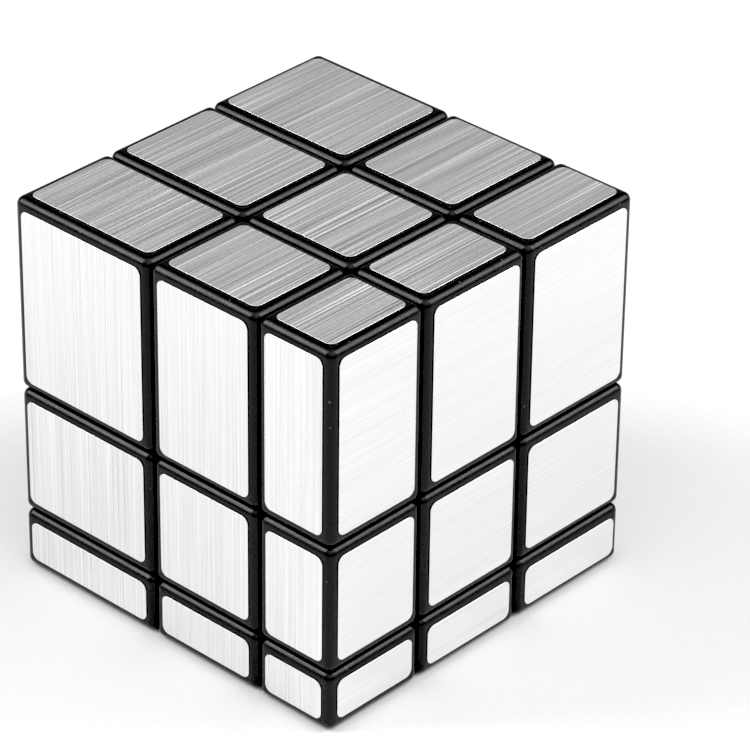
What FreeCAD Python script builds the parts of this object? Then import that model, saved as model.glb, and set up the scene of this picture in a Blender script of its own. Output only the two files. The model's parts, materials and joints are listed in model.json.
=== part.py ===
import FreeCAD, Part
import Sketcher

import itertools
import os

# Mirror block cube: a 3 x 3 x 3 turning puzzle whose pieces differ in size instead of colour.
#
# The two cuts across each axis lie half the middle layer either side of the core, so the mechanism
# inside is that of an ordinary cube. Only the outer layers differ in thickness, and one foil colour
# covers every face.
#
# Outside, each piece ends at a flat cut. Inside, the cuts step towards the core from one spherical
# shell to the next, and every step is round about all three axes. A corner's foot therefore lies under
# its neighbouring edges, an edge's foot lies under its neighbouring centres, and a spring under a
# screw holds each centre down, while each of the six outer layers can still turn.
#
# Millimetres, +Z up. Right is +X, left -X, back +Y, front -Y. Every sub-part is built about the core's
# centre, and its Placement carries it to the origin, the middle of the bottom face.

# Driving dimensions, in millimetres: alias, value, meaning.
SIZES = [
    ("middle_layer", 19.0, "thickness of the middle layer, the same on every axis"),
    ("right_layer", 13.0, "thickness of the +X layer"),
    ("left_layer", 25.0, "thickness of the -X layer"),
    ("back_layer", 21.0, "thickness of the +Y layer"),
    ("front_layer", 17.0, "thickness of the -Y layer"),
    ("top_layer", 29.0, "thickness of the +Z layer"),
    ("bottom_layer", 9.0, "thickness of the -Z layer"),
    ("layer_gap", 0.2, "gap between neighbouring pieces at a flat cut"),
    ("edge_round", 1.15, "rounding of every outside edge and corner of a piece"),
    ("wall", 1.5, "wall of a hollow shell"),
    ("foil_thick", 0.15, "thickness of the brushed foil"),
    ("foil_inset", 1.54, "from a cut or an outer face to the side of a foil"),
    ("foil_round", 1.1, "corner rounding of a foil"),
    ("foot_gap", 0.3, "running gap between sliding surfaces of the mechanism"),
    ("cut_inner", 4.5, "cut distance in the inner shell, where edge feet sit under centres"),
    ("cut_foot", 7.0, "cut distance in the foot shell, where corner feet sit under edges"),
    ("cut_neck", 8.8, "cut distance in the neck shell, which thickens the corner necks"),
    ("ball_core", 10.5, "radius of the hollow that holds the core"),
    ("ball_inner", 14.8, "radius where the inner shell meets the foot shell"),
    ("ball_foot", 18.0, "radius where the foot shell meets the neck shell"),
    ("ball_neck", 19.75, "radius where the neck shell ends and the flat cuts begin"),
    ("floor_ball", 19.5, "radius of a centre's inner floor"),
    ("stalk_round", 4.3, "radius of a centre's stalk"),
    ("stalk_end", 8.7, "distance of a stalk's inner end from the core's centre"),
    ("spring_seat", 10.2, "distance of the spring seat from the core's centre"),
    ("well_round", 2.6, "radius of the well that holds spring, washer and screw head"),
    ("cap_depth", 1.4, "thickness of a centre cap at its rim"),
    ("cap_frame", 1.0, "wall of the frame that locates a centre cap"),
    ("cap_grip", 1.5, "depth of that frame"),
    ("screw_hole", 1.35, "radius of the hole in a centre for the screw"),
    ("screw_shank", 1.25, "radius of the screw's shank"),
    ("screw_tip", 4.0, "distance of the screw's tip from the core's centre"),
    ("screw_point", 1.2, "length of the screw's tapered tip"),
    ("head_round", 2.4, "radius of the screw head and of the washer"),
    ("head_base", 15.0, "distance of the screw head's underside from the core's centre"),
    ("head_tall", 1.6, "height of the screw head"),
    ("head_rim", 0.7, "height of the screw head's straight rim"),
    ("head_crown", 1.44, "radius of the flat on top of the screw head"),
    ("recess_long", 2.8, "length of the cross recess in the screw head"),
    ("recess_wide", 0.7, "width of the cross recess"),
    ("recess_deep", 0.9, "depth of the cross recess"),
    ("washer_thick", 0.4, "thickness of a washer"),
    ("wire_round", 0.225, "radius of the spring wire"),
    ("coil_round", 2.1, "mean radius of the spring"),
    ("coil_turns", 5.0, "turns of the spring"),
    ("hub_round", 5.4, "radius of the core's middle"),
    ("arm_round", 3.4, "radius of a core arm"),
    ("arm_end", 8.4, "distance of an arm's end face from the core's centre"),
    ("arm_chamfer", 0.4, "chamfer on the end of an arm"),
    ("pilot_end", 3.4, "distance of a screw hole's blind end from the core's centre"),
    ("overrun", 1.0, "how far a shape runs past the face that it cuts or joins"),
]

AXES = "xyz"
SIDE_LAYERS = {
    (0, 1): ("right", "right_layer"),
    (0, -1): ("left", "left_layer"),
    (1, 1): ("back", "back_layer"),
    (1, -1): ("front", "front_layer"),
    (2, 1): ("top", "top_layer"),
    (2, -1): ("bottom", "bottom_layer"),
}
THIN_CENTRE = "bottom"  # its layer has no room for a hollow between floor and cap

# The three nested shells of the mechanism: cut distance, inner radius, outer radius.
INNER = ("sizes.cut_inner", "sizes.ball_core", "sizes.ball_inner")
FOOT = ("sizes.cut_foot", "sizes.ball_inner", "sizes.ball_foot")
NECK = ("sizes.cut_neck", "sizes.ball_foot", "sizes.ball_neck")

FLAT_CUT = "sizes.middle_layer / 2"
PIECE_LOW = f"({FLAT_CUT} + sizes.layer_gap / 2)"
PIECE_HALF = f"({FLAT_CUT} - sizes.layer_gap / 2)"
SEAM_BALL = "(sizes.ball_neck + sizes.foot_gap / 2)"
REACH = "(sizes.ball_neck + sizes.wall)"  # beyond every ball of the mechanism
ROOM_HALF = f"({PIECE_HALF} - sizes.wall)"  # half the width inside a centre's walls

TOLERANCE = 1e-6

# The sketcher's numbers for the places that a constraint ties together.
START_POINT, END_POINT, CENTRE_POINT = 1, 2, 3
SKETCH_ORIGIN = (-1, START_POINT)
VERTICAL_AXIS = -2
ON_AXIS = "0"

doc = FreeCAD.newDocument("mirror_block_cube")
sheet = doc.addObject("Spreadsheet::Sheet", "sizes")
for row, (alias, value, meaning) in enumerate(SIZES, start=1):
    sheet.set(f"A{row}", meaning)
    sheet.set(f"B{row}", str(value))
    sheet.setAlias(f"B{row}", alias)
doc.recompute()

subparts = []  # (object, number of separate solids)


# ---------------------------------------------------------------- formulas and basic solids


def value_of(formula):
    """The number that a formula over the sheet gives."""
    return float(sheet.evalExpression(formula))


def low_of(shell):
    """Where a piece on one side of a cut begins, inside that shell."""
    return f"({shell[0]} + sizes.foot_gap / 2)"


def half_of(shell):
    """Half the width of a piece between the two cuts, inside that shell."""
    return f"({shell[0]} - sizes.foot_gap / 2)"


def inner_ball(shell):
    return f"({shell[1]} + sizes.foot_gap / 2)"


def outer_ball(shell):
    return f"({shell[2]} - sizes.foot_gap / 2)"


def outer_face(axis, sign):
    """Distance from the core's centre to the foil's outer surface."""
    return f"({FLAT_CUT} + sizes.{SIDE_LAYERS[axis, sign][1]})"


def plastic_face(axis, sign):
    return f"({outer_face(axis, sign)} - sizes.foil_thick)"


def span(sign, low, half, high):
    """Low and high ends along one axis: low to high on the sign's side, or half either way."""
    if sign == 0:
        return f"-{half}", half
    if sign > 0:
        return low, high
    return f"-{high}", f"-{low}"


def box(name, spans):
    """A box from one pair of end formulas for each axis."""
    made = doc.addObject("Part::Box", name)
    for axis, side, (low, high) in zip(AXES, ("Length", "Width", "Height"), spans):
        made.setExpression(f"Placement.Base.{axis}", low)
        made.setExpression(side, f"({high}) - ({low})")
    return made


def cylinder(name, radius, low, high):
    """A cylinder on the local Z axis."""
    made = doc.addObject("Part::Cylinder", name)
    made.setExpression("Radius", radius)
    made.setExpression("Placement.Base.z", low)
    made.setExpression("Height", f"({high}) - ({low})")
    return made


balls = {}


def ball(radius):
    """A ball about the core's centre, made once for each radius."""
    if radius not in balls:
        balls[radius] = doc.addObject("Part::Sphere", f"ball_{len(balls)}")
        balls[radius].setExpression("Radius", radius)
    return balls[radius]


def cut(name, base, tool):
    made = doc.addObject("Part::Cut", name)
    made.Base = base
    made.Tool = tool
    return made


def common(name, *shapes):
    made = doc.addObject("Part::MultiCommon", name)
    made.Shapes = shapes
    return made


def fuse(name, *shapes):
    made = doc.addObject("Part::MultiFuse", name)
    made.Shapes = shapes
    made.Refine = True
    return made


def between(name, solid, inner, outer):
    """The part of a solid between two balls."""
    return cut(f"{name}_hollowed", common(f"{name}_in_ball", solid, ball(outer)), ball(inner))


def rounded(name, base, radius_alias, axes=range(3)):
    """Rounds the edges of a box that run along these axes, and the corners where all three meet."""
    doc.recompute()
    radius = value_of(f"sizes.{radius_alias}")
    edges = []
    for number, edge in enumerate(base.Shape.Edges, start=1):
        run = edge.Vertexes[1].Point - edge.Vertexes[0].Point
        if any(run.Length - abs(run[axis]) < TOLERANCE for axis in axes):
            edges.append((number, radius, radius))
    made = doc.addObject("Part::Fillet", name)
    made.Base = base
    made.Edges = edges
    return made


def rounded_block(name, spans):
    """A piece's outer block, rounded all over."""
    return rounded(f"{name}_block", box(f"{name}_box", spans), "edge_round")


def place(made, label, solids=1, rotation=None):
    """Names a finished sub-part and carries it from the core's centre to the row's origin."""
    made.Label = label
    if rotation is not None:
        made.Placement = FreeCAD.Placement(FreeCAD.Vector(), rotation)
    made.setExpression("Placement.Base.x", "(sizes.left_layer - sizes.right_layer) / 2")
    made.setExpression("Placement.Base.y", "(sizes.front_layer - sizes.back_layer) / 2")
    made.setExpression("Placement.Base.z", f"{FLAT_CUT} + sizes.bottom_layer")
    subparts.append((made, solids))


def place_group(members, label):
    """Keeps several separate pieces together as one sub-part."""
    group = doc.addObject("Part::Compound", f"{label}_group")
    group.Links = members
    place(group, label, solids=len(members))


def side_names(signs):
    """The sides that a piece belongs to, top or bottom first, then front or back, then left or right."""
    return [SIDE_LAYERS[axis, signs[axis]][0] for axis in (2, 1, 0) if signs[axis]]


# ---------------------------------------------------------------- corners and edges


def region(signs, low, half, high=REACH):
    """Spans of the space that a piece may fill, from one cut distance."""
    return [span(sign, low, half, high) for sign in signs]


def block_spans(signs, inset="0"):
    """Spans of a piece's outer block, moved in from every face by inset."""
    return [
        span(
            sign,
            f"({PIECE_LOW} + {inset})",
            f"({PIECE_HALF} - {inset})",
            f"({plastic_face(axis, sign)} - {inset})" if sign else None,
        )
        for axis, sign in enumerate(signs)
    ]


def open_axis(signs):
    """The axis whose inner face is closed by the foot's plate instead of by the shell."""
    return max(axis for axis in range(3) if signs[axis])


def shell_of(name, signs, block):
    """The hollow outer shell: open on one inner face, and cut back to the seam ball."""
    axis = open_axis(signs)
    spans = block_spans(signs, "sizes.wall")
    spans[axis] = span(
        signs[axis], FLAT_CUT, None, f"({plastic_face(axis, signs[axis])} - sizes.wall)"
    )
    hollow = cut(f"{name}_hollow", block, box(f"{name}_cavity", spans))
    place(cut(f"{name}_shell", hollow, ball(SEAM_BALL)), f"{name}_shell")


def closing_plate(name, signs):
    """The plate that closes the shell's open face, flush with its rim."""
    axis = open_axis(signs)
    spans = block_spans(signs, "sizes.wall")
    spans[axis] = span(signs[axis], PIECE_LOW, None, f"({PIECE_LOW} + sizes.wall)")
    return cut(f"{name}_plate", box(f"{name}_plate_box", spans), ball(inner_ball(NECK)))


def corner_foot(name, signs, block):
    """Foot, neck, shoulder and closing plate of a corner, fused into one piece."""
    foot_box = box(f"{name}_foot_box", region(signs, low_of(FOOT), None))
    neck_box = box(f"{name}_neck_box", region(signs, low_of(NECK), None))
    foot = between(f"{name}_foot", foot_box, inner_ball(FOOT), outer_ball(FOOT))
    neck = between(f"{name}_neck", neck_box, inner_ball(FOOT), outer_ball(NECK))
    shoulder = common(f"{name}_shoulder", block, ball(SEAM_BALL))
    return fuse(f"{name}_foot_whole", foot, neck, shoulder, closing_plate(name, signs))


def edge_foot(name, signs):
    """Foot, neck, shoulder and closing plate of an edge, fused into one piece."""
    stages = [
        # stage, where it begins past a cut, half width between cuts, inner ball, outer ball
        ("toe", low_of(INNER), half_of(INNER), inner_ball(INNER), outer_ball(INNER)),
        ("ankle", low_of(FOOT), half_of(INNER), inner_ball(INNER), outer_ball(FOOT)),
        ("wing", low_of(FOOT), half_of(FOOT), inner_ball(FOOT), outer_ball(FOOT)),
        ("neck", low_of(NECK), half_of(FOOT), inner_ball(FOOT), outer_ball(NECK)),
        ("ridge", low_of(NECK), half_of(NECK), inner_ball(NECK), outer_ball(NECK)),
        ("shoulder", PIECE_LOW, half_of(NECK), inner_ball(NECK), SEAM_BALL),
    ]
    solids = [
        between(f"{name}_{stage}", box(f"{name}_{stage}_box", region(signs, low, half)), near, far)
        for stage, low, half, near, far in stages
    ]
    return fuse(f"{name}_foot_whole", *solids, closing_plate(name, signs))


def make_corners_and_edges():
    """Every shell is a node. The feet of the top and of the bottom layer are four to a node."""
    for level, layer in ((1, "top"), (0, "middle"), (-1, "bottom")):
        feet = {"corner": [], "edge": []}
        for x, y in itertools.product((-1, 0, 1), repeat=2):
            signs = (x, y, level)
            sides = side_names(signs)
            if len(sides) < 2:
                continue
            kind = "corner" if len(sides) == 3 else "edge"
            name = "_".join([kind] + sides)
            block = rounded_block(name, block_spans(signs))
            shell_of(name, signs, block)
            foot = corner_foot(name, signs, block) if kind == "corner" else edge_foot(name, signs)
            if level == 0:
                place(foot, f"{name}_foot")
            else:
                feet[kind].append(foot)
        for kind, made in feet.items():
            if made:
                place_group(made, f"{kind}_feet_{layer}")


# ---------------------------------------------------------------- centres

OUTWARD = {  # turns the local +Z axis to each side
    "top": FreeCAD.Rotation(),
    "bottom": FreeCAD.Rotation(FreeCAD.Vector(1, 0, 0), 180),
    "right": FreeCAD.Rotation(FreeCAD.Vector(0, 1, 0), 90),
    "left": FreeCAD.Rotation(FreeCAD.Vector(0, 1, 0), -90),
    "front": FreeCAD.Rotation(FreeCAD.Vector(1, 0, 0), 90),
    "back": FreeCAD.Rotation(FreeCAD.Vector(1, 0, 0), -90),
}


def square(half, low, high):
    """Spans of an upright square bar on the local Z axis."""
    return [(f"-({half})", half), (f"-({half})", half), (low, high)]


def centre_blank(name, block, top):
    """A centre before it is hollowed: outer block, column, flange over the edge feet, and stalk."""
    head = cut(f"{name}_head", block, ball(SEAM_BALL))
    bar = box(f"{name}_bar", square(half_of(NECK), PIECE_LOW, top))
    column = cut(f"{name}_column", common(f"{name}_inside", block, bar), ball(inner_ball(NECK)))
    disc = cylinder(f"{name}_disc", half_of(FOOT), PIECE_LOW, inner_ball(NECK))
    flange = cut(f"{name}_flange", disc, ball(inner_ball(FOOT)))
    stalk_top = "sizes.ball_inner + sizes.overrun"
    stalk = cylinder(f"{name}_stalk", "sizes.stalk_round", "sizes.stalk_end", stalk_top)
    return fuse(f"{name}_blank", head, column, flange, stalk)


def centre_room(name, cap_base):
    """The hollow between a centre's inner floor and its cap."""
    room = box(f"{name}_room_box", square(ROOM_HALF, PIECE_LOW, cap_base))
    return cut(f"{name}_room", room, ball("sizes.floor_ball"))


def cap_frame(name, cap_base):
    """The frame under a cap that locates it between the centre's walls."""
    low = f"({cap_base} - sizes.cap_grip)"
    frame = box(f"{name}_frame_box", square(ROOM_HALF, low, cap_base))
    opening = square(f"({ROOM_HALF} - sizes.cap_frame)", f"{low} - sizes.overrun", cap_base)
    return cut(f"{name}_frame", frame, box(f"{name}_frame_hole", opening))


def make_centre(axis, sign):
    """A centre's body, held down by a screw and spring, and the cap that covers the screw."""
    side = SIDE_LAYERS[axis, sign][0]
    name = f"centre_{side}"
    top = plastic_face(axis, sign)
    cap_base = f"({top} - sizes.cap_depth)"
    blank = centre_blank(name, rounded_block(name, square(PIECE_HALF, PIECE_LOW, top)), top)
    slab = box(f"{name}_cap_slab", square(PIECE_HALF, cap_base, f"{top} + sizes.overrun"))
    cap = common(f"{name}_cap_plate", blank, slab)
    hole_low = "sizes.stalk_end - sizes.overrun"
    hole = cylinder(f"{name}_hole", "sizes.screw_hole", hole_low, "sizes.head_base")
    well = cylinder(f"{name}_well", "sizes.well_round", "sizes.spring_seat", cap_base)
    removed = [slab, hole, well]
    if side != THIN_CENTRE:
        removed.append(centre_room(name, cap_base))
        cap = fuse(f"{name}_cap_whole", cap, cap_frame(name, cap_base))
    body = cut(f"{name}_hollowed", blank, fuse(f"{name}_removed", *removed))
    place(body, f"{name}_body", rotation=OUTWARD[side])
    place(cap, f"{name}_cap", rotation=OUTWARD[side])


# ---------------------------------------------------------------- core, screws, washers, springs


def origin_plane(body, role):
    return next(part for part in body.Origin.OriginFeatures if part.Role == role)


def sketch_on(body, name, role, height="0"):
    """A sketch on one of the body's origin planes, lifted by a formula."""
    sketch = body.newObject("Sketcher::SketchObject", name)
    sketch.AttachmentSupport = [(origin_plane(body, role), "")]
    sketch.MapMode = "FlatFace"
    sketch.setExpression("AttachmentOffset.Base.z", height)
    return sketch


def add_circle(sketch, radius):
    """A circle about the sketch's origin, with its radius bound to a formula."""
    now = value_of(radius)
    circle = Part.Circle(FreeCAD.Vector(), FreeCAD.Vector(0, 0, 1), now)
    number = sketch.addGeometry(circle, False)
    sketch.addConstraint(Sketcher.Constraint("Coincident", number, CENTRE_POINT, *SKETCH_ORIGIN))
    rule = sketch.addConstraint(Sketcher.Constraint("Radius", number, now))
    sketch.setExpression(f"Constraints[{rule}]", radius)


def add_outline(sketch, corners):
    """A closed polygon whose corners are bound to pairs of formulas."""
    count = len(corners)
    now = [FreeCAD.Vector(value_of(x), value_of(y), 0) for x, y in corners]
    for number in range(count):
        sketch.addGeometry(Part.LineSegment(now[number], now[(number + 1) % count]), False)
    for number, (x, y) in enumerate(corners):
        before = (number - 1) % count
        sketch.addConstraint(
            Sketcher.Constraint("Coincident", before, END_POINT, number, START_POINT)
        )
        bind_corner(sketch, number, "DistanceX", x, now[number].x)
        bind_corner(sketch, number, "DistanceY", y, now[number].y)


def bind_corner(sketch, number, kind, formula, now):
    """Ties one coordinate of a line's start to a formula, or puts it on the vertical axis."""
    if formula == ON_AXIS:
        rule = Sketcher.Constraint("PointOnObject", number, START_POINT, VERTICAL_AXIS)
        sketch.addConstraint(rule)
        return
    rule = Sketcher.Constraint(kind, *SKETCH_ORIGIN, number, START_POINT, now)
    sketch.setExpression(f"Constraints[{sketch.addConstraint(rule)}]", formula)


def pad(body, name, sketch, length, symmetric=False):
    made = body.newObject("PartDesign::Pad", name)
    made.Profile = sketch
    made.setExpression("Length", length)
    if symmetric:
        made.SideType = "Symmetric"
    return made


def make_core():
    """The six-armed core, with a blind screw hole in the end of every arm."""
    body = doc.addObject("PartDesign::Body", "core_body")
    hub = body.newObject("PartDesign::AdditiveSphere", "core_hub")
    hub.setExpression("Radius", "sizes.hub_round")
    for role in ("XY_Plane", "XZ_Plane", "YZ_Plane"):
        disc = sketch_on(body, f"core_arms_{role[:2]}", role)
        add_circle(disc, "sizes.arm_round")
        pad(body, f"core_pad_{role[:2]}", disc, "2 * sizes.arm_end", symmetric=True)
    doc.recompute()
    arms = body.Tip
    ends = [
        f"Edge{number}"
        for number, edge in enumerate(arms.Shape.Edges, start=1)
        if isinstance(edge.Curve, Part.Circle)
        and abs(edge.Curve.Center.Length - value_of("sizes.arm_end")) < TOLERANCE
    ]
    chamfer = body.newObject("PartDesign::Chamfer", "core_arm_ends")
    chamfer.Base = (arms, ends)
    chamfer.setExpression("Size", "sizes.arm_chamfer")
    for side, turn in OUTWARD.items():
        out = turn.multVec(FreeCAD.Vector(0, 0, 1))
        pilot = body.newObject("PartDesign::SubtractiveCylinder", f"core_pilot_{side}")
        pilot.Placement = FreeCAD.Placement(FreeCAD.Vector(), turn)
        for axis, part in zip(AXES, out):
            pilot.setExpression(f"Placement.Base.{axis}", f"{round(part)} * sizes.pilot_end")
        pilot.setExpression("Radius", "sizes.screw_shank")
        pilot.setExpression("Height", "sizes.arm_end + sizes.overrun - sizes.pilot_end")
    place(body, "core")


def make_screw():
    """A pan-head screw on the local Z axis, revolved, with a cross recess in its head."""
    body = doc.addObject("PartDesign::Body", "screw_body")
    half = sketch_on(body, "screw_half", "XZ_Plane")
    shank = "sizes.screw_shank"
    rim_top = "(sizes.head_base + sizes.head_rim)"
    top = "(sizes.head_base + sizes.head_tall)"
    outline = [  # radius and height of each corner, from the tip round to the top of the head
        (ON_AXIS, "sizes.screw_tip"),
        (f"{shank} / 2", "sizes.screw_tip"),
        (shank, "(sizes.screw_tip + sizes.screw_point)"),
        (shank, "sizes.head_base"),
        ("sizes.head_round", "sizes.head_base"),
        ("sizes.head_round", rim_top),
        ("sizes.head_crown", top),
        (ON_AXIS, top),
    ]
    add_outline(half, outline)
    turned = body.newObject("PartDesign::Revolution", "screw_turned")
    turned.Profile = half
    turned.ReferenceAxis = (half, ["V_Axis"])
    turned.Angle = 360.0
    for along_x, along_y in (("long", "wide"), ("wide", "long")):
        slot = body.newObject("PartDesign::SubtractiveBox", f"screw_recess_{along_x}")
        slot.setExpression("Length", f"sizes.recess_{along_x}")
        slot.setExpression("Width", f"sizes.recess_{along_y}")
        slot.setExpression("Height", "sizes.recess_deep + sizes.overrun")
        slot.setExpression("Placement.Base.x", f"-sizes.recess_{along_x} / 2")
        slot.setExpression("Placement.Base.y", f"-sizes.recess_{along_y} / 2")
        slot.setExpression("Placement.Base.z", f"{top} - sizes.recess_deep")
    return body


def make_washer():
    body = doc.addObject("PartDesign::Body", "washer_body")
    ring = sketch_on(body, "washer_ring", "XY_Plane", "sizes.head_base - sizes.washer_thick")
    add_circle(ring, "sizes.head_round")
    add_circle(ring, "sizes.screw_hole")
    pad(body, "washer_pad", ring, "sizes.washer_thick")
    return body


def make_spring():
    """A coil spring between the spring seat and the washer."""
    low = "(sizes.spring_seat + sizes.wire_round)"
    high = "(sizes.head_base - sizes.washer_thick - sizes.wire_round)"
    path = doc.addObject("Part::Helix", "spring_coil")
    path.setExpression("Radius", "sizes.coil_round")
    path.setExpression("Height", f"{high} - {low}")
    path.setExpression("Pitch", f"({high} - {low}) / sizes.coil_turns")
    path.setExpression("Placement.Base.z", low)
    wire = doc.addObject("Part::Circle", "spring_wire")
    wire.setExpression("Radius", "sizes.wire_round")
    wire.Placement = FreeCAD.Placement(
        FreeCAD.Vector(), FreeCAD.Rotation(FreeCAD.Vector(1, 0, 0), 90)
    )
    wire.setExpression("Placement.Base.x", "sizes.coil_round")
    wire.setExpression("Placement.Base.z", low)
    spring = doc.addObject("Part::Sweep", "spring_sweep")
    spring.Sections = [wire]
    spring.Spine = (path, ["Edge1"])
    spring.Solid = True
    spring.Frenet = True
    return spring


def on_every_side(made, label):
    """Six copies of a piece, one on each arm of the core, with their sides."""
    copies = {}
    for side, turn in OUTWARD.items():
        copies[side] = doc.addObject("App::Link", f"{label}_on_{side}")
        copies[side].LinkedObject = made
        copies[side].LinkPlacement = FreeCAD.Placement(FreeCAD.Vector(), turn)
    return copies


# ---------------------------------------------------------------- foils


def foil(name, signs, axis):
    """The foil on one outer face of a piece: a thin plate with rounded corners."""
    spans = []
    for across, sign in enumerate(signs):
        far = outer_face(across, sign) if sign else None
        if across == axis:
            spans.append(span(sign, plastic_face(across, sign), None, far))
        else:
            near = f"({FLAT_CUT} + sizes.foil_inset)"
            half = f"({FLAT_CUT} - sizes.foil_inset)"
            spans.append(span(sign, near, half, f"({far} - sizes.foil_inset)"))
    return rounded(name, box(f"{name}_box", spans), "foil_round", [axis])


def make_foils():
    """A centre's foil is a node. Those of a layer's corners and edges share one, or two at the bottom,
    where the foils that the cube stands on are apart from those on its sides."""
    shared = {"foils_top": [], "foils_middle": [], "foils_bottom_sides": [], "foils_bottom_under": []}
    for level, label in ((1, "foils_top"), (0, "foils_middle"), (-1, "foils_bottom_sides")):
        for x, y in itertools.product((-1, 0, 1), repeat=2):
            signs = (x, y, level)
            sides = side_names(signs)
            for axis in range(3):
                if not signs[axis]:
                    continue
                made = foil("_".join(["foil"] + sides + [AXES[axis]]), signs, axis)
                if len(sides) == 1:
                    place(made, f"centre_{sides[0]}_foil")
                elif (axis, level) == (2, -1):
                    shared["foils_bottom_under"].append(made)
                else:
                    shared[label].append(made)
    for label, foils in shared.items():
        place_group(foils, label)


# ---------------------------------------------------------------- build, check, write


def check_document():
    failed = [o.Name for o in doc.Objects if {"Invalid", "Error"} & set(o.State)]
    if failed:
        raise RuntimeError(f"these objects failed to build: {failed}")
    for made, solids in subparts:
        shape = made.Shape
        if shape.isNull() or not shape.isValid() or shape.Volume <= 0:
            raise RuntimeError(f"{made.Label} has no valid solid")
        if len(shape.Solids) != solids:
            raise RuntimeError(f"{made.Label} has {len(shape.Solids)} solids, not {solids}")


def write_parts():
    os.makedirs("parts", exist_ok=True)
    for made, _ in subparts:
        made.Shape.exportStep(os.path.join("parts", f"{made.Label}.step"))
    print(f"wrote {len(subparts)} sub-parts")


make_corners_and_edges()
for axis, sign in SIDE_LAYERS:
    make_centre(axis, sign)
make_core()
place_group(list(on_every_side(make_screw(), "screw").values()), "screws")
place_group(list(on_every_side(make_washer(), "washer").values()), "washers")
for side, spring in on_every_side(make_spring(), "spring").items():
    place_group([spring], f"spring_{side}")
make_foils()
doc.recompute()
check_document()
write_parts()
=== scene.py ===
"""Looks of the mirror block cube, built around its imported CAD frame.

The moulded blocks, their feet, the core, the screws and the washers stay as CAD made them and get their
materials here. Each of the 54 foils is rebuilt as a thin sheet with a rolled rim, cut from brushed
metallised film. It takes its size from the CAD foil that it replaces, and sits a little off its place,
as if stuck on by hand. Each of the six springs is rebuilt as wound wire.
"""

import json
import math
import random

import bmesh
import bpy
from mathutils import Euler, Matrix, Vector

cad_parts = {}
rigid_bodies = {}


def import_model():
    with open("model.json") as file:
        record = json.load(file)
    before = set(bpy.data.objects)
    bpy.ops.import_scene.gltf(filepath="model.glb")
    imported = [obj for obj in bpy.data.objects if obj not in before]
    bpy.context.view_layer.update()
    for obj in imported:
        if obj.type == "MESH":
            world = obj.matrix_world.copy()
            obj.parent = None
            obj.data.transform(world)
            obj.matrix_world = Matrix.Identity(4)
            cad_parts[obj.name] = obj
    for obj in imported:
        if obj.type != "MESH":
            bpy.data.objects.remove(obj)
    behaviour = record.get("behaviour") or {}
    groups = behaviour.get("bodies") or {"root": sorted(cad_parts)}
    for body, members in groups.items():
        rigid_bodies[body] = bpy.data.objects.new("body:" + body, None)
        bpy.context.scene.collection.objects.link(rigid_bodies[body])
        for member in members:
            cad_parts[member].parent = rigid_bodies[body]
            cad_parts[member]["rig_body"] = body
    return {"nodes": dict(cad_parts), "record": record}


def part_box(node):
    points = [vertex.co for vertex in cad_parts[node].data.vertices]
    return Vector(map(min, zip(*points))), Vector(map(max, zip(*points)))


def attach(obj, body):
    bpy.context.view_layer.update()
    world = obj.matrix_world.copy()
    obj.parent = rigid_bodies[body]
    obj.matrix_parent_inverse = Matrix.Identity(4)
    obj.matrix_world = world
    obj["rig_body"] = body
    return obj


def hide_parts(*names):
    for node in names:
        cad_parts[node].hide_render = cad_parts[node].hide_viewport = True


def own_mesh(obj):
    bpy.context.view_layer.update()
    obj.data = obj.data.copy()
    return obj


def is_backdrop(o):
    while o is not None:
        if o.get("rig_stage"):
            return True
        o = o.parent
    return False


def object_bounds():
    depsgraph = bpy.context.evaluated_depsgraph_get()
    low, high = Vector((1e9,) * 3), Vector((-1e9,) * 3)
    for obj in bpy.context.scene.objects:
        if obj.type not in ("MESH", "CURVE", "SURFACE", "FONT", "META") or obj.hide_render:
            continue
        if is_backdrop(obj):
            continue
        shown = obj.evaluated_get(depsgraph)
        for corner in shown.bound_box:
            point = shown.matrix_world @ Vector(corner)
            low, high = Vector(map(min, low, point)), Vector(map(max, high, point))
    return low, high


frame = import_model()
cad_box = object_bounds()

MM = 0.001
X, Y, Z = range(3)
SEED = 57

# Camera: where it looks, how far away it stands, and how it is turned.
VIEW_POINT = Vector((4.65, 5.0, 29.23)) * MM
VIEW_DISTANCE = 580.0 * MM
VIEW_AZIMUTH = 42.84
VIEW_ELEVATION = 31.45
VIEW_ROLL = 0.69
LENS_MM = 210.2
SENSOR_MM = 36.0
BLACK_POINT = 0.03  # scene brightness that prints as black

# Foils: the brushing runs along BRUSHED[axis that the foil faces].
BRUSHED = {X: Y, Y: Z, Z: Y}
FOIL_CORNER = 1.1 * MM
FOIL_RIM = 0.05 * MM
FOIL_STRAY = 0.14 * MM  # how far off its place a foil may be stuck on, each way
CORNER_STEPS = 10
RIM_STEPS = 3
FILM, ADHESIVE = range(2)  # a sheet's material slots
SHEET_SPREAD = 400.0  # how far apart on the brushed sheet two foils may be cut, in mm

# The grain on the foils, layer by layer: cycles per mm along and across the brushing, then the noise's
# detail and roughness, and the layer's share of the grain.
GRAIN_LAYERS = (
    (0.015, 0.6, 1.0, 0.5, 0.07),  # broad bands
    (0.02, 2.4, 2.0, 0.6, 0.3),  # streaks
    (0.03, 4.6, 2.0, 0.6, 0.48),  # hairlines
    (1.6, 6.0, 1.0, 0.5, 0.15),  # tooth
)
SCRATCH_DEPTH = 0.2  # how much single scratches add to the grain, or take from it
SCRATCH_NOISE = (0.58, 0.78)  # where the noise starts a scratch, and where it is full
GRAIN_STRENGTH_AS_LIT = {X: 0.2, Y: 0.58, Z: 0.88}  # by the axis that a foil faces: painted light, the grain set as strong as the lighting shows it on that side
GRAIN_VARIES = (0.85, 1.2)  # from foil to foil
TOP_GRAIN = 1.2  # on top at the front edge, less TOP_GRAIN_FADE at the back edge
TOP_GRAIN_FADE = 0.7
GRAIN_ON_BRIGHT = 1.1  # how much the grain changes the reflectance
GRAIN_ON_ROUGH = 1.0  # how much the grain changes the roughness

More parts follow.
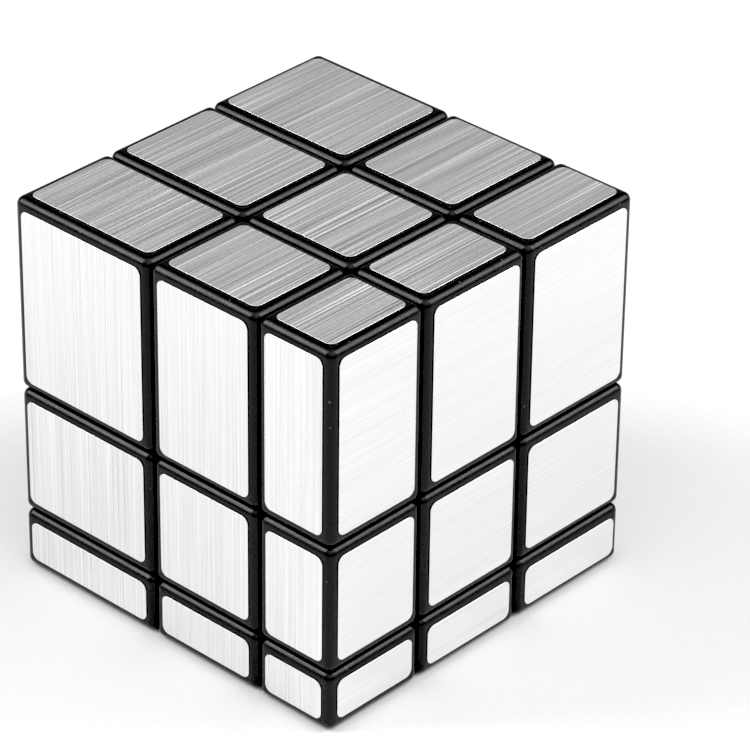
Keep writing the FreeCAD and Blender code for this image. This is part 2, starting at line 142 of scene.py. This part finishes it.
# Springs: round wire, wound turn on turn over the closed turns at each end.
WIRE_ROUND = 0.22 * MM
COIL_TURNS = 5.0
CLOSED_TURNS = 0.8
TURN_STEPS = 48
WIRE_SIDES = 12
SPRING_CLEAR = 0.02 * MM  # gap at each end of a spring

# Finishes: the foil's mean reflectance and roughness, and the plastic's index of refraction and its
# pale specks, which are nick marks and painted glints.
FOIL_BRIGHT = 0.89
FOIL_ROUGH = 0.36
PLASTIC_IOR = 1.45
NICK_AND_GLINT_PALE = 45.0  # how many times paler than the plastic a pale speck is: a nick mark that is also a painted glint

# Shading is smooth across edges flatter than this.
SMOOTH_ANGLE = math.radians(32)

# Studio: soft light from all round, and area lights, each with its azimuth and elevation in degrees,
# width and height in metres, and power in watts.
AMBIENT = 0.38
LIGHT_DISTANCE = 1.1
SOFTBOXES = {
    "softbox_front": (35, 50, 1.2, 1.1, 3.2),
    "softbox_side": (100, 50, 1.2, 1.1, 4.0),
    "softbox_left": (-48, 39, 0.4, 0.75, 6.6),
    "softbox_right": (140, 38, 0.37, 0.7, 4.5),
    "softbox_top": (43, 88, 1.1, 1.1, 2.0),
}
FLOOR_HALF = 3.0


# ---------------------------------------------------------------- node graphs


class Graph:
    """A material's node tree, with short calls for the nodes used here."""

    def __init__(self, name):
        self.material = bpy.data.materials.new(name)
        self.material.use_nodes = True
        self.tree = self.material.node_tree
        self.shader = self.tree.nodes["Principled BSDF"]

    def add(self, kind, **settings):
        node = self.tree.nodes.new(kind)
        for name, value in settings.items():
            setattr(node, name, value)
        return node

    def plug(self, socket, value):
        """Sets a socket to a constant or links it to another node's output."""
        if isinstance(value, bpy.types.NodeSocket):
            self.tree.links.new(value, socket)
        else:
            socket.default_value = value

    def shade(self, **values):
        """Sets the shader's sockets by name, with underscores for spaces."""
        for name, value in values.items():
            self.plug(self.shader.inputs[name.replace("_", " ")], value)

    def math(self, operation, first, second=0.0, third=0.0, clamp=False):
        node = self.add("ShaderNodeMath", operation=operation, use_clamp=clamp)
        for socket, value in zip(node.inputs, (first, second, third)):
            self.plug(socket, value)
        return node.outputs[0]

    def noise(self, vector, scale=1.0, detail=2.0, roughness=0.5):
        """Fractal noise of about 0 to 1."""
        node = self.add("ShaderNodeTexNoise")
        self.plug(node.inputs["Vector"], vector)
        self.plug(node.inputs["Scale"], scale)
        self.plug(node.inputs["Detail"], detail)
        self.plug(node.inputs["Roughness"], roughness)
        return node.outputs["Fac"]

    def stretch(self, vector, scales):
        """The vector with each axis scaled on its own."""
        node = self.add("ShaderNodeVectorMath", operation="MULTIPLY")
        self.plug(node.inputs[0], vector)
        self.plug(node.inputs[1], scales)
        return node.outputs[0]

    def remap(self, value, low, high, to_low=0.0, to_high=1.0, smooth=False):
        node = self.add("ShaderNodeMapRange")
        node.interpolation_type = "SMOOTHSTEP" if smooth else "LINEAR"
        for socket, number in zip(node.inputs, (value, low, high, to_low, to_high)):
            self.plug(socket, number)
        return node.outputs[0]

    def grey(self, value):
        """A grey colour of that brightness."""
        node = self.add("ShaderNodeCombineColor")
        for socket in node.inputs:
            self.plug(socket, value)
        return node.outputs[0]

    def tint(self, value, colour):
        """That colour, scaled by the value."""
        node = self.add("ShaderNodeVectorMath", operation="SCALE")
        self.plug(node.inputs[0], colour)
        self.plug(node.inputs["Scale"], value)
        return node.outputs[0]

    def bump(self, height, depth, under=None):
        """A bump of that many metres between heights 0 and 1, on top of another bump."""
        node = self.add("ShaderNodeBump")
        self.plug(node.inputs["Height"], height)
        self.plug(node.inputs["Distance"], depth)
        self.plug(node.inputs["Strength"], 1.0)
        if under is not None:
            self.plug(node.inputs["Normal"], under)
        return node.outputs["Normal"]

    def place_in_mm(self):
        """The surface point in the piece's own frame, in millimetres."""
        coords = self.add("ShaderNodeTexCoord")
        return self.stretch(coords.outputs["Object"], (1 / MM, 1 / MM, 1 / MM))


# ---------------------------------------------------------------- materials


def brushed_foil():
    """Metallised film with a brushed grain: broad bands, streaks, hairlines and single scratches.

    The UV map holds the place on the brushed sheet in mm, along the brushing and across it. The grain
    catches the light across the brushing, so the highlight is stretched that way.
    """
    graph = Graph("brushed_foil")
    uv = graph.add("ShaderNodeUVMap", uv_map="sheet_mm").outputs[0]
    contrast = graph.add("ShaderNodeAttribute", attribute_name="grain").outputs["Fac"]
    grain = 0.0
    for along, across, detail, roughness, share in GRAIN_LAYERS:
        layer = graph.noise(graph.stretch(uv, (along, across, 1.0)), 1.0, detail, roughness)
        grain = graph.math("MULTIPLY_ADD", layer, share, grain)
    scatter = graph.math("SUBTRACT", grain, 0.5)
    for operation, across in (("ADD", 3.6), ("SUBTRACT", 3.3)):
        lines = graph.noise(graph.stretch(uv, (0.02, across, 1.0)), detail=0.0)
        scratches = graph.remap(lines, *SCRATCH_NOISE, 0.0, SCRATCH_DEPTH)
        scatter = graph.math(operation, scatter, scratches)
    scatter = graph.math("MULTIPLY", scatter, contrast)
    bright = graph.math("MULTIPLY_ADD", scatter, GRAIN_ON_BRIGHT, FOIL_BRIGHT, clamp=True)
    specks = graph.noise(graph.stretch(uv, (2.1, 2.1, 1.0)), detail=0.0)
    speck_dark = graph.remap(specks, 0.87, 0.89, 1.0, 0.8, smooth=True)
    graph.shade(
        Base_Color=graph.grey(graph.math("MULTIPLY", bright, speck_dark)),
        Metallic=1.0,
        Roughness=graph.math("MULTIPLY_ADD", scatter, GRAIN_ON_ROUGH, FOIL_ROUGH, clamp=True),
        Anisotropic=0.7,
        Anisotropic_Rotation=0.25,
    )
    tangent = graph.add("ShaderNodeTangent", direction_type="UV_MAP", uv_map="sheet_mm")
    graph.plug(graph.shader.inputs["Tangent"], tangent.outputs[0])
    waves = graph.noise(graph.place_in_mm(), scale=0.11, detail=1.0)
    sagged = graph.bump(waves, 0.03 * MM)
    graph.shade(Normal=graph.bump(grain, 0.02 * MM, under=sagged))
    return graph.material


def adhesive_edge():
    """The smoky edge of the adhesive under a foil, with dust caught in it."""
    graph = Graph("foil_adhesive")
    dust = graph.noise(graph.place_in_mm(), scale=3.0, detail=3.0, roughness=0.7)
    graph.shade(
        Base_Color=graph.grey(graph.remap(dust, 0.35, 0.75, 0.01, 0.06)),
        Roughness=graph.remap(dust, 0.3, 0.7, 0.5, 0.75),
    )
    graph.shade(Normal=graph.bump(dust, 0.01 * MM))
    return graph.material


def moulded_plastic(name, colour, roughness, grain_depth=0.01 * MM):
    """Satin moulded plastic: fine spark-eroded grain, flow marks, faint rub marks and a few pale
    specks, which are nick marks and painted glints.
    """
    graph = Graph(name)
    place = graph.place_in_mm()
    grain = graph.noise(place, scale=5.0, detail=3.0, roughness=0.6)
    flow = graph.noise(place, scale=0.35, detail=2.0)
    rubs = graph.noise(graph.stretch(place, (0.5, 0.5, 5.0)), detail=3.0, roughness=0.7)
    rubs_across = graph.noise(graph.stretch(place, (5.0, 5.0, 0.5)), detail=3.0, roughness=0.7)
    marks = graph.math("MULTIPLY", rubs, rubs_across)
    rough = graph.math("MULTIPLY_ADD", flow, 0.12, roughness - 0.06)
    rough = graph.math("MULTIPLY_ADD", graph.math("SUBTRACT", marks, 0.25), 0.5, rough, clamp=True)
    shade = graph.remap(flow, 0.3, 0.7, 0.85, 1.15)
    # Pale specks in the colour: nick marks and dust, and also painted glints.
    nick_and_glint_noise = graph.noise(place, scale=1.9, detail=0.0)
    pale_nick_and_glint = graph.remap(nick_and_glint_noise, 0.83, 0.86, 0.0, NICK_AND_GLINT_PALE, smooth=True)
    graph.shade(
        Base_Color=graph.tint(graph.math("ADD", shade, pale_nick_and_glint), colour),
        Roughness=rough,
        IOR=PLASTIC_IOR,
    )
    rubbed = graph.bump(marks, 0.012 * MM)
    graph.shade(Normal=graph.bump(grain, grain_depth, under=rubbed))
    return graph.material


def worked_steel(name, colour, roughness, grain_scales):
    """Plated or drawn steel with fine tool marks."""
    graph = Graph(name)
    place = graph.place_in_mm()
    marks = graph.noise(graph.stretch(place, grain_scales), detail=3.0, roughness=0.6)
    stains = graph.noise(place, scale=0.6, detail=2.0)
    graph.shade(
        Base_Color=graph.tint(graph.remap(stains, 0.3, 0.7, 0.85, 1.0), colour),
        Metallic=1.0,
        Roughness=graph.math("MULTIPLY_ADD", marks, 0.25, roughness - 0.12, clamp=True),
        Normal=graph.bump(marks, 0.01 * MM),
    )
    return graph.material


def floor_paint():
    """Matt white studio board with a barely visible tooth."""
    graph = Graph("studio_floor")
    place = graph.place_in_mm()
    tooth = graph.noise(place, scale=0.8, detail=3.0)
    graph.shade(
        Base_Color=graph.grey(graph.remap(tooth, 0.2, 0.8, 0.81, 0.83)),
        Roughness=0.75,
        Specular_IOR_Level=0.2,
    )
    return graph.material


# ---------------------------------------------------------------- carried-over CAD pieces


def finishes():
    """The material of each of the record's material slots."""
    return {
        "foil": brushed_foil(),
        "shell_plastic": moulded_plastic("shell_plastic", (0.0025, 0.0025, 0.0028), 0.3),
        "foot_plastic": moulded_plastic("foot_plastic", (0.004, 0.004, 0.0044), 0.42),
        "core_plastic": moulded_plastic("core_plastic", (0.012, 0.012, 0.013), 0.5, 0.02 * MM),
        "zinc_steel": worked_steel("zinc_steel", (0.62, 0.62, 0.64), 0.3, (2.0, 2.0, 2.0)),
        "spring_steel": worked_steel("spring_steel", (0.5, 0.5, 0.52), 0.28, (4.0, 4.0, 4.0)),
    }


def dress_cad_nodes(finish_of):
    """Gives every CAD node its material and even shading across its rounded edges."""
    for part in frame["record"]["subparts"]:
        node = frame["nodes"][part["node"]]
        node.data.materials.clear()
        node.data.materials.append(finish_of[part["material_slot"]])
        even_shading(node)


def even_shading(piece):
    """Smooth shading over curves, with flat faces kept flat."""
    piece.data.polygons.foreach_set("use_smooth", [True] * len(piece.data.polygons))
    piece.data.set_sharp_from_angle(angle=SMOOTH_ANGLE)
    weighted = piece.modifiers.new("even_shading", "WEIGHTED_NORMAL")
    weighted.keep_sharp = True


# ---------------------------------------------------------------- foils


def islands(mesh):
    """The vertex positions of each separate solid in a mesh."""
    bm = bmesh.new()
    bm.from_mesh(mesh)
    bmesh.ops.remove_doubles(bm, verts=bm.verts, dist=1e-6)
    unseen = set(bm.verts)
    while unseen:
        front = [unseen.pop()]
        island = []
        while front:
            vert = front.pop()
            island.append(vert.co.copy())
            near = {edge.other_vert(vert) for edge in vert.link_edges} & unseen
            unseen -= near
            front.extend(near)
        yield island
    bm.free()


def rounded_outline(half_u, half_v, inset):
    """Points round a rectangle with rounded corners, anticlockwise, drawn in by inset."""
    radius = FOIL_CORNER - inset
    points = []
    for corner, (side_u, side_v) in enumerate(((1, 1), (-1, 1), (-1, -1), (1, -1))):
        centre_u = side_u * (half_u - FOIL_CORNER)
        centre_v = side_v * (half_v - FOIL_CORNER)
        for step in range(CORNER_STEPS + 1):
            angle = math.pi / 2 * (corner + step / CORNER_STEPS)
            points.append(
                (centre_u + radius * math.cos(angle), centre_v + radius * math.sin(angle))
            )
    return points


def foil_mesh(name, centre, along, across, out, halves, thick):
    """A closed sheet with rounded corners and a rolled outer rim."""
    bm = bmesh.new()
    profile = [(0.0, 0.0), (0.0, thick - FOIL_RIM)]
    for step in range(1, RIM_STEPS + 1):
        angle = math.pi / 2 * step / RIM_STEPS
        inset = FOIL_RIM * (1 - math.cos(angle))
        profile.append((inset, thick - FOIL_RIM * (1 - math.sin(angle))))
    rings = []
    for inset, height in profile:
        ring = [
            bm.verts.new(centre + along * u + across * v + out * height)
            for u, v in rounded_outline(*halves, inset)
        ]
        rings.append(ring)
    for level, (lower, upper) in enumerate(zip(rings, rings[1:])):
        for here in range(len(lower)):
            after = (here + 1) % len(lower)
            face = bm.faces.new((lower[here], lower[after], upper[after], upper[here]))
            face.material_index = FILM if level else ADHESIVE
    bm.faces.new(rings[-1]).material_index = FILM
    bm.faces.new(reversed(rings[0])).material_index = ADHESIVE
    mesh = bpy.data.meshes.new(name)
    bm.to_mesh(mesh)
    bm.free()
    return mesh


def lay_on_sheet(mesh, centre, along, across, grain, draw):
    """Gives a foil its own place on the brushed sheet, and how strong its grain is."""
    cut_u, cut_v = (draw.uniform(0, SHEET_SPREAD) for _ in range(2))
    layer = mesh.uv_layers.new(name="sheet_mm")
    for loop in mesh.loops:
        offset = mesh.vertices[loop.vertex_index].co - centre
        layer.data[loop.index].uv = (
            cut_u + offset.dot(along) / MM,
            cut_v + offset.dot(across) / MM,
        )
    attribute = mesh.attributes.new("grain", "FLOAT", "POINT")
    attribute.data.foreach_set("value", [grain] * len(mesh.vertices))


def make_foils(film, adhesive):
    """A detailed foil in place of each CAD foil."""
    draw = random.Random(SEED)
    core_low, core_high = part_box("core")
    core = (core_low + core_high) / 2
    for node_name in sorted(name for name in frame["nodes"] if "foil" in name):
        body = frame["nodes"][node_name]["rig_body"]
        found = [corners_of(island) for island in islands(frame["nodes"][node_name].data)]
        for number, (low, high) in enumerate(sorted(found, key=lambda box: tuple(box[0])), 1):
            size = high - low
            facing = min(range(3), key=lambda axis: size[axis])
            sign = 1 if (low + high)[facing] / 2 > core[facing] else -1
            out = axis_vector(facing) * sign
            along = axis_vector(BRUSHED[facing])
            across = out.cross(along)
            centre = (low + high) / 2 - out * size[facing] / 2
            centre += (along * draw.uniform(-1, 1) + across * draw.uniform(-1, 1)) * FOIL_STRAY
            halves = [abs(size.dot(along)) / 2, abs(size.dot(across)) / 2]
            name = node_name if len(found) == 1 else f"{node_name}_{number:02d}"
            mesh = foil_mesh(name, centre, along, across, out, halves, size[facing])
            lay_on_sheet(mesh, centre, along, across, grain_of(facing, centre, draw), draw)
            mesh.materials.append(film)
            mesh.materials.append(adhesive)
            piece = bpy.data.objects.new(name + "_sheet", mesh)
            bpy.context.scene.collection.objects.link(piece)
            even_shading(piece)
            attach(piece, body)
            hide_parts(node_name)


def grain_of(facing, centre, draw):
    """How strong a foil's grain is: fainter on faces square to X, and on top towards the back. The
    strength by side is painted light, set to how the lighting shows the streaks.
    """
    strength = GRAIN_STRENGTH_AS_LIT[facing]
    if facing == Z:
        depth = (centre.y - cad_box[0][Y]) / (cad_box[1][Y] - cad_box[0][Y])
        strength *= TOP_GRAIN - TOP_GRAIN_FADE * depth
    return strength * draw.uniform(*GRAIN_VARIES)


def corners_of(points):
    low = Vector([min(p[axis] for p in points) for axis in range(3)])
    high = Vector([max(p[axis] for p in points) for axis in range(3)])
    return low, high


def axis_vector(axis):
    return Vector([1.0 if axis == other else 0.0 for other in range(3)])


# ---------------------------------------------------------------- springs


def coil_rise(turn, length):
    """How far the wire has risen at that turn: least over the closed turns, evenly between them."""
    tightest = 2 * WIRE_ROUND
    closed = tightest * CLOSED_TURNS
    free = COIL_TURNS - 2 * CLOSED_TURNS
    if turn < CLOSED_TURNS:
        return tightest * turn
    if turn > COIL_TURNS - CLOSED_TURNS:
        return length - tightest * (COIL_TURNS - turn)
    return closed + (turn - CLOSED_TURNS) / free * (length - 2 * closed)


def coil_mesh(name, seat, along, side, radius, length):
    """A coil of round wire that rises from its seat, with a flat face at both wire ends."""
    up_side = along.cross(side)
    bm = bmesh.new()
    rings = []
    steps = int(COIL_TURNS * TURN_STEPS)
    for step in range(steps + 1):
        turn = step / TURN_STEPS
        angle = 2 * math.pi * turn
        outward = side * math.cos(angle) + up_side * math.sin(angle)
        height = WIRE_ROUND + coil_rise(turn, length - 2 * WIRE_ROUND)
        middle = seat + outward * radius + along * height
        rings.append([
            bm.verts.new(middle + (outward * math.cos(edge) + along * math.sin(edge)) * WIRE_ROUND)
            for edge in (2 * math.pi * number / WIRE_SIDES for number in range(WIRE_SIDES))
        ])
    for lower, upper in zip(rings, rings[1:]):
        for here in range(WIRE_SIDES):
            after = (here + 1) % WIRE_SIDES
            bm.faces.new((lower[here], upper[here], upper[after], lower[after]))
    bm.faces.new(rings[0])
    bm.faces.new(reversed(rings[-1]))
    bmesh.ops.recalc_face_normals(bm, faces=bm.faces)
    mesh = bpy.data.meshes.new(name)
    bm.to_mesh(mesh)
    bm.free()
    return mesh


def make_springs(material):
    """A wound spring in place of each CAD one."""
    for joint in frame["record"]["behaviour"]["joints"]:
        for deforming in joint.get("deforming_nodes", ()):
            name = deforming["node"]
            low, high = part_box(name)
            along = Vector(joint["axis"])
            side = Vector((along.y, along.z, along.x))
            length = abs((high - low).dot(along)) - 2 * SPRING_CLEAR
            radius = abs((high - low).dot(side)) / 2 - WIRE_ROUND
            seat = (low + high) / 2 - along * length / 2
            mesh = coil_mesh(name, seat, along, side, radius, length)
            mesh.materials.append(material)
            piece = bpy.data.objects.new(name + "_coil", mesh)
            bpy.context.scene.collection.objects.link(piece)
            even_shading(piece)
            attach(piece, frame["nodes"][name]["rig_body"])
            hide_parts(name)
            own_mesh(piece)


# ---------------------------------------------------------------- studio


def direction(azimuth, elevation):
    """From the object towards a place at that azimuth and elevation, in degrees."""
    turn, rise = math.radians(azimuth), math.radians(elevation)
    return Vector(
        (math.sin(turn) * math.cos(rise), -math.cos(turn) * math.cos(rise), math.sin(rise))
    )


def aim(thing, towards):
    """Turns a camera or light to look along a direction, with its top upwards."""
    thing.rotation_euler = towards.to_track_quat("-Z", "Y").to_euler()


def make_camera():
    data = bpy.data.cameras.new("camera")
    data.lens = LENS_MM
    data.sensor_width = SENSOR_MM
    data.clip_start = 10 * MM
    data.clip_end = 10.0
    camera = bpy.data.objects.new("camera", data)
    bpy.context.scene.collection.objects.link(camera)
    out = direction(VIEW_AZIMUTH, VIEW_ELEVATION)
    camera.location = VIEW_POINT + out * VIEW_DISTANCE
    look = (-out).to_track_quat("-Z", "Y").to_matrix()
    roll = Euler((0.0, 0.0, math.radians(VIEW_ROLL))).to_matrix()
    camera.rotation_euler = (look @ roll).to_euler()
    bpy.context.scene.camera = camera


def make_floor():
    bm = bmesh.new()
    corners = ((-1, -1), (1, -1), (1, 1), (-1, 1))
    bm.faces.new([bm.verts.new((x * FLOOR_HALF, y * FLOOR_HALF, 0.0)) for x, y in corners])
    mesh = bpy.data.meshes.new("floor")
    bm.to_mesh(mesh)
    bm.free()
    mesh.materials.append(floor_paint())
    floor = bpy.data.objects.new("floor", mesh)
    bpy.context.scene.collection.objects.link(floor)
    floor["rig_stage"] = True


def softbox(name, azimuth, elevation, width, height, power):
    data = bpy.data.lights.new(name, "AREA")
    data.shape = "RECTANGLE"
    data.size, data.size_y = width, height
    data.energy = power
    light = bpy.data.objects.new(name, data)
    out = direction(azimuth, elevation)
    light.location = out * LIGHT_DISTANCE
    aim(light, -out)
    bpy.context.scene.collection.objects.link(light)


def make_studio():
    world = bpy.data.worlds.new("studio")
    world.use_nodes = True
    background = world.node_tree.nodes["Background"]
    background.inputs["Color"].default_value = (AMBIENT, AMBIENT, AMBIENT, 1.0)
    background.inputs["Strength"].default_value = 1.0
    bpy.context.scene.world = world
    for name, setting in SOFTBOXES.items():
        softbox(name, *setting)
    view = bpy.context.scene.view_settings
    view.view_transform = "Standard"
    view.use_curve_mapping = True
    view.curve_mapping.black_level = (BLACK_POINT, BLACK_POINT, BLACK_POINT)
    view.curve_mapping.update()
    make_floor()


finish_of = finishes()
dress_cad_nodes(finish_of)
make_foils(finish_of["foil"], adhesive_edge())
# The frame's own plain steel has this name, so it is what the wound springs get.
make_springs(bpy.data.materials["spring_steel"])
make_studio()
make_camera()

({name: [list(corner) for corner in box]
           for name, box in (("cad", cad_box), ("visual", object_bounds()))})
